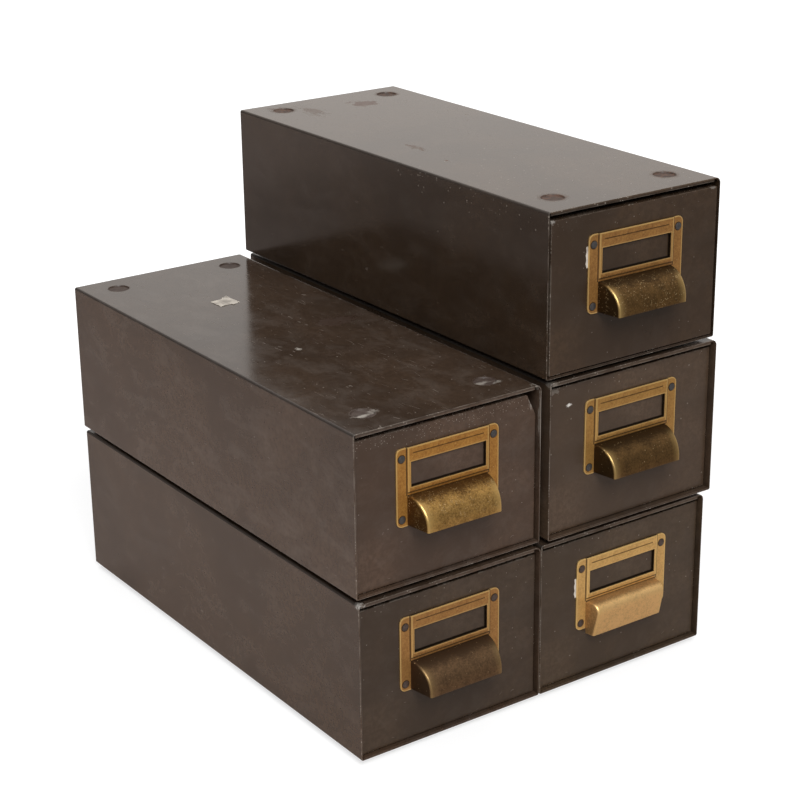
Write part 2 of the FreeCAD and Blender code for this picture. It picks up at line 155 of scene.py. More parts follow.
class Wiring:
    """Short ways to add and join the nodes of one tree."""

    def __init__(self, tree):
        self.tree = tree

    def add(self, kind, inputs=None, **settings):
        node = self.tree.nodes.new(kind)
        for name, value in settings.items():
            setattr(node, name, value)
        for name, value in (inputs or {}).items():
            self.feed(node.inputs[name], value)
        return Outputs(self, node.outputs)

    def feed(self, socket, value):
        if isinstance(value, Value):
            self.tree.links.new(value.socket, socket)
        elif value is not None:
            socket.default_value = value

    def math(self, operation, *values, clamp=False):
        inputs = dict(enumerate(values))
        if isinstance(values[0], Value) and values[0].socket.type != "VALUE":
            return self.add("ShaderNodeVectorMath", inputs, operation=operation)[0]
        return self.add("ShaderNodeMath", inputs, operation=operation, use_clamp=clamp)[0]

    def capped(self, first, second):
        """Sum kept between none and one."""
        return self.math("ADD", first, second, clamp=True)

    def largest(self, first, *others):
        for other in others:
            first = self.math("MAXIMUM", first, other)
        return first

    def smallest(self, first, *others):
        for other in others:
            first = self.math("MINIMUM", first, other)
        return first

    def length(self, place):
        return self.add("ShaderNodeVectorMath", {0: place}, operation="LENGTH")["Value"]

    def split(self, value):
        return self.add("ShaderNodeSeparateXYZ", {"Vector": value})

    def join(self, x, y, z):
        return self.add("ShaderNodeCombineXYZ", {"X": x, "Y": y, "Z": z})[0]

    def ease(self, value, low, high, start=0.0, end=1.0):
        """Smooth step of value from low to high."""
        return self.add("ShaderNodeMapRange", dict(enumerate((value, low, high, start, end))),
                        interpolation_type="SMOOTHSTEP")[0]

    def near(self, value, target, reach):
        """One where value is at target, easing to none at reach from it."""
        return self.ease(abs(value - target), reach, reach * 0.35)

    def mix(self, factor, first, second):
        return self.add("ShaderNodeMix", {0: factor, 6: first, 7: second}, data_type="RGBA", clamp_factor=True)[2]

    def noise(self, place, scale, detail=2.0, roughness=0.5, distortion=0.0):
        return self.add("ShaderNodeTexNoise", {
            "Vector": place, "Scale": scale, "Detail": detail, "Roughness": roughness, "Distortion": distortion})[0]

    def broken(self, place, scale, low, high):
        """Patchy mask."""
        return self.ease(self.noise(place, scale, 4.0, 0.65), low, high)

    def turned(self, place, turn=(0, 0, 0), stretch=(1, 1, 1), shift=(0, 0, 0)):
        return self.add("ShaderNodeMapping", {
            "Vector": place, "Rotation": turn, "Scale": stretch, "Location": shift})[0]

    def swayed(self, place, scale, reach):
        """Place pushed about a little, so that straight patterns bend."""
        push = self.add("ShaderNodeTexNoise", {"Vector": place, "Scale": scale, "Detail": 1.0})["Color"]
        return place + (push - (0.5, 0.5, 0.5)) * (reach, reach, reach)

    def effect(self, name, **inputs):
        """One of the effects below, with its named inputs fed."""
        return self.add("ShaderNodeGroup", titled(inputs), node_tree=effects[name])


def titled(inputs):
    """Inputs under the names that their sockets show."""
    return {name.replace("_", " ").title(): value for name, value in inputs.items()}


def add_inputs(tree, inputs):
    """Gives a node group its named inputs, of the kinds that their own values have."""
    for name, value in titled(inputs).items():
        size = 1 if isinstance(value, (int, float)) else len(value)
        kind = "Int" if isinstance(value, int) else {1: "Float", 3: "Vector", 4: "Color"}[size]
        tree.interface.new_socket(name, in_out="INPUT", socket_type="NodeSocket" + kind).default_value = value


effects = {}


def effect(title, outputs, **inputs):
    """Makes a shader node group of the function that follows, which wires its inputs up to its outputs."""
    def make(wire):
        tree = bpy.data.node_groups.new(title, "ShaderNodeTree")
        add_inputs(tree, inputs)
        for name in outputs:
            kind = "NodeSocketColor" if name == "Color" else "NodeSocketFloat"
            tree.interface.new_socket(name, in_out="OUTPUT", socket_type=kind)
        w = Wiring(tree)
        given = w.add("NodeGroupInput")
        results = wire(w, *(given[name] for name in titled(inputs)))
        last = tree.nodes.new("NodeGroupOutput")
        for name, result in zip(outputs, results):
            w.feed(last.inputs[name], result)
        effects[wire.__name__] = tree
        return wire
    return make


POINT = (0.0, 0.0, 0.0)
FILM = ("Color", "Roughness", "Height")
DEEP_PAINT = (0.002, 0.001, 0.001, 1)
BLOOM = (0.225, 0.190, 0.165, 1)
SCRATCH = (0.17, 0.14, 0.115, 1)
DUST = (0.20, 0.17, 0.14, 1)
BRASS_RUB_AND_HIGHLIGHT = (0.88, 0.62, 0.24, 1)
BRASS_GRIME_AND_SHADE = (0.024, 0.011, 0.004, 1)
BRASS_FLECK = (0.80, 0.60, 0.32, 1)
SCRATCH_WAYS = ((0.5, 0.10, 55.0), (-0.6, 0.08, 60.0), (1.5, 0.08, 45.0), (2.2, 0.12, 70.0))  # turn, narrowing, scale


@effect("distance to the nearest edge", ("Distance",), place=POINT, half_size=(1.0, 1.0, 1.0))
def edge(w, place, half_size):
    """Distance from a point on a box's surface to the box's nearest edge."""
    x, y, z = w.split(abs(half_size - abs(place)))
    return [x + y + z - w.smallest(x, y, z) - w.largest(x, y, z)]


@effect("chips along edges", ("Mask",), place=POINT, distance=1.0, reach=0.0015, amount=0.5)
def chips(w, place, distance, reach, amount):
    """Ragged chips that gather within a reach of an edge."""
    patches = w.noise(place, 34.0, 3.0, 0.6)
    grit = w.noise(place, 620.0, 3.0, 0.65)
    near = 1.0 - distance / reach
    ragged = near * 0.28 + (patches * 0.55 + grit * 0.45 + (amount - 0.5) * 0.5)
    return [w.ease(ragged, 0.68, 0.75) * (near > 0.0)]


@effect("spot", ("Mask",), place=POINT, centre=POINT, reach=(0.01, 0.01, 0.01), ragged=0.5)
def spot(w, place, centre, reach, ragged):
    """Soft or ragged spot about a centre, with a reach along each axis."""
    offset = (place - centre) / reach
    rough = (w.noise(offset + centre * (400, 400, 400), 1.7, 6.0, 0.72) - 0.5) * ragged
    return [w.ease(w.length(offset) + rough * 3.0, 1.0, 0.55)]


@effect("flecks", ("Mask",), place=POINT, scale=300.0, density=0.1, size=0.22)
def flecks(w, place, scale, density, size):
    """Small flecks, denser where density is high."""
    cells = w.add("ShaderNodeTexVoronoi", {"Vector": place, "Scale": scale})
    chance, share, _ = w.split(cells["Color"])
    reach = size * (share * 0.9 + 0.35)
    return [w.ease(cells["Distance"], reach, reach * 0.45) * (chance < density)]


@effect("scratches", ("Mask",), place=POINT, share=0.1)
def scratches(w, place, share):
    """Hairline scratches in several directions, broken into strokes."""
    swayed = w.swayed(place, 10.0, 0.006)
    start = share * -0.30 + 0.72
    masks = []
    for number, (turn, narrow, scale) in enumerate(SCRATCH_WAYS):
        lines = w.noise(w.turned(swayed, (0.2, 0.3, turn), (1, narrow, 1)), scale, 0.0)
        strokes = w.noise(w.turned(place, shift=(number, 0.3, 0)), 95.0)
        masks.append(w.ease(abs(lines - 0.5), 0.0050, 0.001) * w.ease(strokes, start, start + 0.07))
    return [w.largest(*masks)]


@effect("stoved enamel", FILM, place=POINT, paint=(0.05, 0.035, 0.025, 1), bloom=0.1, dust=0.05, scratches=0.1,
        roughness=0.2)
def enamel(w, place, paint, bloom, dust, scratches, roughness):
    """Stoved enamel film: colour drift, pale bloom, scratches, dust, roughness and height."""
    drift = w.noise(place, 9.0, 5.0, 0.65, 0.6)
    cloud = w.noise(w.turned(place, (0, 0, 0.3), (1, 0.6, 1.3)), 48.0, 5.0, 0.7, 0.5)
    mottle = w.noise(place, 300.0, 4.0, 0.7)
    scratch = w.effect("scratches", place=place, share=scratches)["Mask"]
    specks = w.effect("flecks", place=place, scale=330.0, density=dust, size=0.22)["Mask"]
    deep = w.mix(0.62, DEEP_PAINT, paint)
    colour = w.mix(w.ease(drift, 0.34, 0.62), deep, paint)
    colour = w.mix(w.ease(mottle, 0.6, 0.40) * 0.58, colour, deep)
    colour = w.mix((w.ease(cloud, 0.44, 0.68) * 0.7 + mottle * 0.45) * bloom, colour, BLOOM)
    colour = w.mix(scratch * 0.36, colour, SCRATCH)
    colour = w.mix(specks * 0.45, colour, DUST)
    rough = w.capped(roughness + (cloud - 0.5) * 0.16, w.largest(scratch, specks) * 0.3)
    height = w.noise(place, 800.0) * 0.15 + w.noise(place, 16.0, 1.0) * 0.45 - scratch * 0.12
    return colour, rough, height


@effect("aged brass", FILM, place=POINT, metal=(0.6, 0.4, 0.15, 1), patina=(0.12, 0.08, 0.03, 1), tarnish=0.5,
        grime=0.0, rub=0.0, specks=0.1, roughness=0.35)
def brass(w, place, metal, patina, tarnish, grime, rub, specks, roughness):
    """Aged brass: metal under brown patina, grime with painted shade where it darkens, rub with painted highlights on
    edges, pale specks and fine grain.
    """
    cloud = w.noise(place, 90.0, 4.0, 0.6, 0.4)
    mottle = w.noise(place, 640.0, 5.0, 0.75)
    age = w.capped((cloud - 0.5) * 1.3 + tarnish, (mottle - 0.5) * 2.3) * (1.0 - rub)
    fleck = w.effect("flecks", place=place, scale=900.0, density=specks, size=0.42)["Mask"]
    fleck = fleck * w.ease(w.noise(place, 130.0), 0.42, 0.6, 0.1, 1.0)
    colour = w.mix(age, metal, patina)
    # rubbed metal, also painting the highlights that edges catch
    colour = w.mix(rub * 0.6, colour, BRASS_RUB_AND_HIGHLIGHT)
    # grime, also painting the shade in creases and slots
    colour = w.mix(grime * 0.92, colour, BRASS_GRIME_AND_SHADE)
    colour = w.mix(fleck * 0.6, colour, BRASS_FLECK)
    rough = w.capped(roughness + age * 0.12 + grime * 0.3, (mottle - 0.5) * 0.15)
    return colour, rough, mottle * 0.4 + fleck * 0.3


# -------- finishes, unit by unit
CHIP = (0.30, 0.26, 0.22, 1.0)
CHALK = (0.34, 0.31, 0.27, 1.0)
PALE_CHIP = (0.52, 0.49, 0.45, 1.0)
RUST = (0.095, 0.046, 0.028, 1.0)
RUST_DARK = (0.034, 0.018, 0.012, 1.0)
DUST_DARK = (0.048, 0.034, 0.026, 1.0)
GLUE = (0.095, 0.050, 0.038, 1.0)
SMEAR = (0.110, 0.078, 0.062, 1.0)
BEND_GRIME_AND_SHADE = (0.012, 0.009, 0.007, 1)
SLOT_SHADE = (0.004, 0.003, 0.002, 1)
ENAMEL_RELIEF = 0.1 * MM
BRASS_RELIEF = 0.05 * MM

# paint, paint on top (set apart from the sides' paint as painted light and shade), bloom, scratches on top,
# wear of the front edges, rust in the dimples, flecks high on the side, flecks under the front's top edge,
# wear of the front's left bend, paint of the drawer front
Case = namedtuple("Case", "paint top bloom scratched wear rust side_flecks front_flecks bend front_paint")
BROWN_TOP = (0.050, 0.0300, 0.0180)
CASES = {
    "lower_left": Case((0.060, 0.0355, 0.0215), BROWN_TOP, 0.08, 0.2, 0.18, 0.4, 0.03, 0.02, 0.35,
        (0.046, 0.0285, 0.0165)),
    "upper_left": Case((0.063, 0.0365, 0.0225), (0.042, 0.0245, 0.0145), 0.13, 0.44, 0.24, 0.15, 0.03, 0.50, 0.20,
        (0.066, 0.0380, 0.0235)),
    "lower_right": Case((0.056, 0.0350, 0.0200), BROWN_TOP, 0.07, 0.2, 0.2, 0.4, 0.03, 0.02, 0.20,
        (0.053, 0.0335, 0.0190)),
    "middle_right": Case((0.060, 0.0370, 0.0225), BROWN_TOP, 0.07, 0.2, 0.22, 0.4, 0.03, 0.04, 0.25,
        (0.067, 0.0415, 0.0250)),
    # its side paint is darkened as painted shade, its top paint kept lighter
    "top_right": Case((0.031, 0.0175, 0.0090), (0.060, 0.0355, 0.0195), 0.05, 0.3, 0.14, 1.0, 0.12, 0.10, 0.15,
        (0.044, 0.0250, 0.0130)),
}

# marks: centre and reach from the casing's middle in mm, raggedness, tone, strength
CASING_MARKS = {
    "upper_left": [
        ((-56, -177.5, 61), (9, 2.6, 3), 0.7, CHALK, 0.75), ((-45, -175, 61), (5, 4.0, 3), 1.0, CHALK, 0.35),
        ((50, -175, 61), (7.5, 3.0, 3), 1.0, CHALK, 0.5), ((60, -181, 61), (4, 2.4, 3), 1.0, CHALK, 0.45),
        ((78, -202, 61), (5, 4, 6), 1.2, CHALK, 0.35), ((81, -205, 34), (3, 3, 24), 1.1, CHALK, 0.3),
        ((45, 2, 61), (20, 12, 3), 1.2, RUST_DARK, 0.55), ((-16, -36, 61), (2.6, 3.4, 3), 1.0, CHALK, 0.7),
        ((22, -62, 61), (30, 10, 3), 1.6, SMEAR, 0.10), ((40, -115, 61), (26, 9, 3), 1.6, SMEAR, 0.10),
        ((5, 30, 61), (26, 12, 3), 1.6, SMEAR, 0.10)],
    "top_right": [
        ((15.5, 162.5, 61), (14, 13, 3), 1.25, GLUE, 0.6), ((-42, 5, 61), (4.0, 15, 3), 1.5, SMEAR, 0.8),
        ((-48, -43, 61), (1.6, 3.0, 3), 0.9, RUST, 0.8), ((-36, 166, 61), (8, 22, 3), 1.5, SMEAR, 0.6),
        ((-56, 188, 61), (8, 9, 3), 1.4, SMEAR, 0.5)],
    "middle_right": [((-78, -203, 60), (6, 5, 3), 1.0, CHALK, 0.25)],
    "lower_left": [((-79, -203, 60.5), (4, 3, 3), 1.3, PALE_CHIP, 0.5)],
}
FRONT_MARKS = {
    "middle_right": [
        ((-59.7, -200, 39.5), (2.8, 3, 1.5), 0.8, PALE_CHIP, 0.95), ((-74, -200, 53), (6, 3, 3.0), 1.4, CHALK, 0.2)],
    "top_right": [
        ((-78, -205, 54.2), (3, 3, 2), 1.0, PALE_CHIP, 0.3), ((74, -205, 54.5), (3, 3, 1.2), 1.2, PALE_CHIP, 0.2)],
    "upper_left": [((75, -201, 50), (3, 9, 6), 1.4, CHALK, 0.45)],
}


def new_material(name, metallic=0.0):
    """Material with its own shader; gives the material, its wiring and the shader."""
    material = bpy.data.materials.new(name)
    material.use_nodes = True
    shader = material.node_tree.nodes["Principled BSDF"]
    shader.inputs["Metallic"].default_value = metallic
    return material, Wiring(material.node_tree), shader


def object_place(w, centre):
    """Place on the piece, measured from centre."""
    return w.turned(w.add("ShaderNodeTexCoord")["Object"], shift=-centre)


def colour4(rgb):
    return (*rgb, 1.0)


def finish(w, shader, colour, rough, height, relief):
    """Joins a film of colour, roughness and height to its shader."""
    bump = w.add("ShaderNodeBump", {"Height": height, "Distance": relief})
    for name, value in (("Base Color", colour), ("Roughness", rough), ("Normal", bump["Normal"])):
        w.feed(shader.inputs[name], value)


def cover(w, skin, mask, tone, share=1.0, coarser=0.25):
    """Lays a tone over a skin of colour and roughness, and coarsens it there."""
    colour, rough = skin
    return w.mix(mask * share, colour, tone), w.capped(rough, mask * coarser)


def add_marks(w, place, marks, skin):
    """Lays a unit's own marks over its film."""
    for centre, reach, ragged, tone, strength in marks:
        mark = w.effect("spot", place=place, centre=Vector(centre) * MM, reach=Vector(reach) * MM, ragged=ragged)
        skin = cover(w, skin, mark["Mask"], tone, strength, 0.4 * strength)
    return skin


def dimple_stain(w, place, z, rust):
    """Rust in the dimples: how strong, and its colour."""
    across, along, _ = w.split(abs(place - DIMPLE_MIDDLE) - DIMPLE_SPREAD)
    radius = w.length(w.join(across, along, 0.0))
    patchy = (w.noise(place, 240.0, 4.0, 0.7) - 0.5) * 0.009
    core = w.ease(radius + patchy * 0.45, DIMPLE_RIM + 1.4 * MM, DIMPLE_RIM - 0.8 * MM)
    halo = w.ease(radius + patchy, DIMPLE_RIM + 5.0 * MM, DIMPLE_RIM - 1.0 * MM, 0.0, 0.45 * rust)
    tone = w.mix(w.broken(place, 260.0, 0.42, 0.62), RUST_DARK, w.mix(rust, DUST_DARK, RUST))
    return w.largest(core, halo) * (z > CASE.z / 2 - 1.6 * MM) * 0.92, tone


def casing_enamel(unit):
    """Worn enamel of one casing: top and side paints set apart as painted light and shade, rusty dimples, grime and
    painted shade on the top left bend, thin pale front edges and its own marks.
    """
    case = CASES[unit]
    material, w, shader = new_material(unit + "_casing_enamel")
    place = object_place(w, unit_middle(unit))
    x, y, z = w.split(place)
    half = CASE / 2
    # top and sides take different paints as painted light and shade
    upper = z > half.z - 1.2 * MM
    film = w.effect("enamel", place=place, paint=w.mix(upper, colour4(case.paint), colour4(case.top)),
                    bloom=case.bloom, dust=0.03, scratches=upper * (case.scratched - 0.15) + 0.15, roughness=0.16)

    high_side = w.ease(z, half.z - 26 * MM, half.z - 3 * MM) * w.ease(y, 0.02, -0.06)
    specks = w.effect("flecks", place=place, scale=430.0, density=high_side * case.side_flecks, size=0.3)["Mask"]
    skin = w.mix(specks * 0.5, film["Color"], CHIP), film["Roughness"]

    # grime and painted shade along the top left bend
    grime = w.ease(w.largest(x + half.x, half.z - z), BEND_GRIME_AND_SHADE_REACH + 0.5 * MM, BEND_GRIME_AND_SHADE_REACH - 0.2 * MM)
    skin = cover(w, skin, grime, BEND_GRIME_AND_SHADE, 0.6, 0.35)
    stain, tone = dimple_stain(w, place, z, case.rust)
    skin = cover(w, skin, stain, tone, 1.0, 0.6)

    from_edge = w.effect("edge", place=place, half_size=half)["Distance"]
    chipped = w.effect("chips", place=place, distance=from_edge, reach=1.3 * MM, amount=0.30)["Mask"]
    at_mouth = w.ease(y, -half.y + 1.6 * MM, -half.y + 0.9 * MM)
    brink = w.ease(from_edge, 0.7 * MM, 0.25 * MM)
    lip_edge = w.near(z, half.z - LIP_DROP, 0.7 * MM) * w.ease(y, -half.y + 1.2 * MM, -half.y)
    worn = w.largest(brink, lip_edge) * at_mouth * w.broken(place, 60.0, 0.40, 0.60) * case.wear
    bare = w.largest(chipped * 0.7, worn)
    skin = add_marks(w, place, CASING_MARKS.get(unit, []), cover(w, skin, bare, CHIP))
    finish(w, shader, *skin, film["Height"] - w.largest(bare, stain) * 0.4, ENAMEL_RELIEF)
    return material


def front_enamel(unit):
    """Enamel of one drawer front: worn bends, flecks under its top edge, painted shadow in the card slot and its own
    marks.
    """
    case = CASES[unit]
    material, w, shader = new_material(unit + "_front_enamel")
    middle = unit_middle(unit)
    low, high = (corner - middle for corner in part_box(unit + "_drawer_front"))
    place = object_place(w, middle)
    x, _, z = w.split(place)
    film = w.effect("enamel", place=place, paint=colour4(case.front_paint), bloom=0.5 * case.bloom, dust=0.04,
                    scratches=0.04, roughness=0.24)
    from_edge = w.effect("edge", place=place - (low + high) / 2, half_size=(high - low) / 2)["Distance"]
    chipped = w.effect("chips", place=place, distance=from_edge, reach=1.5 * MM, amount=0.28)["Mask"]
    band = w.ease(z, high.z - 16 * MM, high.z) * case.front_flecks
    specks = w.effect("flecks", place=place, scale=800.0, density=band, size=0.34)["Mask"]
    left_bend = w.ease(x, low.x + 1.0 * MM, low.x + 0.3 * MM) * w.broken(place, 45.0, 0.36, 0.58) * case.bend
    top_bend = (w.ease(z, high.z - 0.9 * MM, high.z - 0.3 * MM) * w.broken(place, 70.0, 0.42, 0.62)
                * (0.6 * case.bend))
    bare = w.largest(chipped * 0.7, specks * 0.6, left_bend, top_bend)

    # painted shadow in the card slot, just inside the window's edges
    middle_x, face_y, base_z = pull_place(unit)
    window = Vector((middle_x, face_y, base_z + WINDOW_MIDDLE)) - middle
    side, _, level = w.split(abs(place - window))
    slot = w.near(w.smallest(WINDOW_HALF - side, WINDOW_HALF_Z - level), 0.0, 1.5 * MM) * 0.9
    skin = cover(w, (w.mix(slot, film["Color"], SLOT_SHADE), film["Roughness"]), bare, CHIP)
    skin = add_marks(w, place, FRONT_MARKS.get(unit, []), skin)
    finish(w, shader, *skin, film["Height"] - bare * 0.4, ENAMEL_RELIEF)
    return material


def inner_enamel():
    """Enamel inside the units, duller and dustier."""
    material, w, shader = new_material("inner_enamel")
    film = w.effect("enamel", place=object_place(w, ORIGIN), paint=(0.050, 0.032, 0.020, 1), bloom=0.15, dust=0.12,
                    scratches=0.2, roughness=0.36)
    finish(w, shader, *film, ENAMEL_RELIEF)
    return material


# metal, patina and tarnish of each label plate; each hood's shape, the same three, specks, roughness, and the strength
# of its rub and painted highlight
PLATES = {
    "lower_left": ((0.42, 0.215, 0.065), (0.20, 0.085, 0.024), 0.30),
    "upper_left": ((0.50, 0.250, 0.055), (0.24, 0.085, 0.016), 0.32),
    "lower_right": ((0.68, 0.42, 0.145), (0.38, 0.20, 0.062), 0.20),
    "middle_right": ((0.46, 0.25, 0.068), (0.23, 0.105, 0.026), 0.26),
    "top_right": ((0.44, 0.22, 0.062), (0.18, 0.078, 0.022), 0.34),
}
HOODS = {
    "lower_left": (SOUND_HOOD, (0.20, 0.118, 0.058), (0.075, 0.043, 0.022), 0.50, 0.05, 0.44, 0.3),
    "upper_left": (SOUND_HOOD, (0.56, 0.33, 0.098), (0.115, 0.056, 0.015), 0.38, 0.55, 0.38, 0.85),
    "lower_right": (PRESSED_HOOD, (0.88, 0.57, 0.245), (0.46, 0.28, 0.120), 0.08, 0.05, 0.46, 0.5),
    "middle_right": (SOUND_HOOD, (0.19, 0.105, 0.036), (0.055, 0.030, 0.010), 0.45, 0.08, 0.40, 0.7),
    "top_right": (SOUND_HOOD, (0.20, 0.110, 0.036), (0.052, 0.028, 0.009), 0.45, 0.50, 0.40, 0.8),
}


def plate_brass(unit):
    """Brass of one label plate: grime and painted shade in its creases, window slot and round its rivets, rub and
    painted highlights along its outline, frame and window.
    """
    metal, patina, tarnish = PLATES[unit]
    material, w, shader = new_material(unit + "_plate_brass", 0.6)
    middle_x, face_y, base_z = pull_place(unit)
    place = object_place(w, Vector((middle_x, face_y, base_z + PLATE_HEIGHT / 2)))
    _, _, z = w.split(place)
    height = z + PLATE_HEIGHT / 2
    side, _, level = w.split(abs(place))
    across = side < RAISED_HALF
    ring = w.length(w.join(side - RIVET_X, 0.0, abs(z - RIVET_RISE) - RIVET_Z))
    round_rivets = w.ease(ring, RIVET_HEAD + 0.8 * MM, RIVET_HEAD + 0.3 * MM)
    # painted shade, with some grime, in the creases beside the frame, under the rail, over the hood and in the groove
    beside_frame = w.near(side, RAISED_HALF + 0.55 * MM, 0.7 * MM) * (height > HOOD_TOP)
    under_rail = w.near(height, LEDGE - 0.5 * MM, 0.8 * MM) * across
    over_hood = w.near(height, HOOD_TOP + 0.2 * MM, 0.7 * MM) * across
    groove = w.near(height, (GROOVE_LOW + GROOVE_HIGH) / 2, 0.7 * MM) * (side < GROOVE_HALF)
    from_window = w.largest(side - WINDOW_HALF, abs(height - WINDOW_MIDDLE) - WINDOW_HALF_Z)
    # painted shade on the window slot's inner walls
    slot = w.ease(from_window, 0.22 * MM, 0.06 * MM)
    grime = w.largest(round_rivets, beside_frame * 0.9, w.largest(under_rail, over_hood) * 0.8, groove * 0.75, slot)

    past_side = w.largest(side - (PLATE_HALF - PLATE_CORNER), 0.0)
    past_level = w.largest(level - (PLATE_HEIGHT / 2 - PLATE_CORNER), 0.0)
    from_outline = PLATE_CORNER - w.length(w.join(past_side, 0.0, past_level))
    # rub along the outline, frame edges and window, also painting the highlights these edges catch
    on_frame = w.near(side, RAISED_HALF - 0.7 * MM, 0.8 * MM) * (height > LEDGE)
    rub = w.largest(w.ease(from_outline, 1.1 * MM, 0.3 * MM, 0.0, 0.8), on_frame * 0.6,
                    w.ease(from_window, 1.3 * MM, 0.5 * MM, 0.0, 0.45))
    film = w.effect("brass", place=place, metal=colour4(metal), patina=colour4(patina), tarnish=tarnish,
                    grime=grime, rub=rub, specks=0.03, roughness=0.36)
    finish(w, shader, *film, BRASS_RELIEF)
    return material


def hood_brass(unit):
    """Bronzed brass of one hood, with painted shade darkest under the plate and on the cheeks, rubbed and given a
    painted highlight round its ends.
    """
    _, metal, patina, tarnish, specks, roughness, rub_and_highlight_strength = HOODS[unit]
    material, w, shader = new_material(unit + "_hood_brass", 0.85)
    shade, rub = (w.add("ShaderNodeAttribute", attribute_name=name)["Fac"] for name in ("shade", "rub"))
    # the shade attribute lays painted shade over the hood's own tarnish
    film = w.effect("brass", place=object_place(w, unit_middle(unit)), metal=colour4(metal), patina=colour4(patina),
                    tarnish=shade + tarnish, rub=rub * rub_and_highlight_strength, specks=specks, roughness=roughness)
    finish(w, shader, *film, BRASS_RELIEF)
    return material


def patchy_steel(name, grain, tones, spread, gloss, relief, metallic=0.0):
    """Steel in two tones, patch by patch."""
    material, w, shader = new_material(name, metallic)
    patch = w.noise(object_place(w, ORIGIN), *grain, 0.65)
    finish(w, shader, w.mix(w.ease(patch, *spread), *tones), w.ease(patch, *gloss), patch, relief)
    return material


def rivet_steel(name, *tones):
    """Rivets: blackened or browned steel."""
    return patchy_steel(name, (700.0, 4.0), tones, (0.42, 0.66), (0.2, 0.8, 0.24, 0.5), 0.12 * MM)


def foot_steel():
    """Stacking feet: enamel rubbed through to rusty steel."""
    return patchy_steel("rubbed_foot_steel", (300.0, 4.0), ((0.040, 0.027, 0.018, 1), RUST), (0.4, 0.6),
                        (0.3, 0.7, 0.4, 0.75), 0.1 * MM)


def bright_steel():
    """Clamp bolts and thumb nuts: dull zinc plate with white bloom."""
    return patchy_steel("dull_zinc_steel", (240.0, 5.0), ((0.40, 0.39, 0.37, 1), (0.26, 0.24, 0.21, 1)), (0.4, 0.7),
                        (0.3, 0.7, 0.3, 0.55), 0.05 * MM, 1.0)


def old_paper():
    """Torn remnants of cream labels."""
    material, w, shader = new_material("old_paper")
    place = object_place(w, ORIGIN)
    fibre = w.noise(place, 900.0, 3.0, 0.6)
    stain = w.noise(place, 160.0, 4.0, 0.6)
    colour = w.mix(w.ease(stain, 0.40, 0.66), (0.46, 0.415, 0.355, 1), (0.23, 0.20, 0.17, 1))
    finish(w, shader, w.mix(fibre * 0.3, colour, (0.55, 0.51, 0.46, 1)), 0.85, fibre, 0.1 * MM)
    return material


# -------- meshes
def put_in_scene(name, data):
    """New object at the origin."""
    thing = bpy.data.objects.new(name, data)
    bpy.context.scene.collection.objects.link(thing)
    return thing


def new_piece(name, build, materials):
    """Object at the origin whose mesh build fills in."""
    mesh = bpy.data.meshes.new(name)
    shape = bmesh.new()
    build(shape)
    shape.to_mesh(mesh)
    shape.free()
    for material in materials:
        mesh.materials.append(material)
    return put_in_scene(name, mesh)


def settle(piece, sharp_deg=38):
    """Turns the piece's modifiers into plain mesh and shades it smooth up to sharp edges."""
    bpy.context.view_layer.update()
    mesh = bpy.data.meshes.new_from_object(piece.evaluated_get(bpy.context.evaluated_depsgraph_get()))
    piece.modifiers.clear()
    piece.data = mesh
    mesh.shade_smooth()
    mesh.set_sharp_from_angle(angle=math.radians(sharp_deg))


def soften(piece, bevel):
    """Softens the cut edges of a sheet piece."""
    round_off = piece.modifiers.new("soft edges", "BEVEL")
    round_off.width = bevel
    round_off.segments = 2
    round_off.limit_method = "ANGLE"
    round_off.angle_limit = math.radians(50)


def thicken(shape, push):
    """Gives a sheet its thickness."""
    grown = bmesh.ops.extrude_face_region(shape, geom=shape.faces[:], use_keep_orig=True)["geom"]
    for vert in grown:
        if isinstance(vert, bmesh.types.BMVert):
            vert.co += push
    bmesh.ops.recalc_face_normals(shape, faces=shape.faces[:])


def smooth(value, low, high):
    share = min(max((value - low) / (high - low), 0.0), 1.0)
    return share * share * (3 - 2 * share)


def plate_relief(x, z):
    """How far the plate's face stands out at x from its middle and z above its lower edge."""
    across = smooth(RAISED_HALF - abs(x), -STEP, STEP)
    up = smooth(z, LEDGE - STEP, LEDGE + STEP)
    ledge = smooth(z, HOOD_TOP, HOOD_TOP + STEP) * LEDGE_HEIGHT
    raised = max(up * RAISED_HEIGHT, ledge)
    groove_z = min(smooth(z, GROOVE_LOW - 0.15 * MM, GROOVE_LOW + 0.1 * MM),
                   smooth(-z, -GROOVE_HIGH - 0.15 * MM, -GROOVE_HIGH + 0.1 * MM))
    groove = groove_z * smooth(GROOVE_HALF - abs(x), -0.3 * MM, 0.3 * MM) * GROOVE_DEPTH
    return across * raised - groove


def spaced(points, step):
    """Sorted values with no gap wider than step."""
    points = sorted(set(points))
    found = [points[0]]
    for before, after in zip(points, points[1:]):
        count = max(1, math.ceil((after - before) / step - 1e-6))
        found += [before + (after - before) * number / count for number in range(1, count + 1)]
    return found


def rounded_corner(x, z):
    """Moves a point of the plate's square outline onto its rounded one."""
    across = (abs(x) - (PLATE_HALF - PLATE_CORNER)) / PLATE_CORNER
    middle = PLATE_HEIGHT / 2
    up = (abs(z - middle) - (middle - PLATE_CORNER)) / PLATE_CORNER
    if across <= 0 or up <= 0:
        return x, z
    new_across = across * math.sqrt(1 - up * up / 2)
    new_up = up * math.sqrt(1 - across * across / 2)
    side = math.copysign(PLATE_HALF - PLATE_CORNER + new_across * PLATE_CORNER, x)
    return side, middle + math.copysign(middle - PLATE_CORNER + new_up * PLATE_CORNER, z - middle)


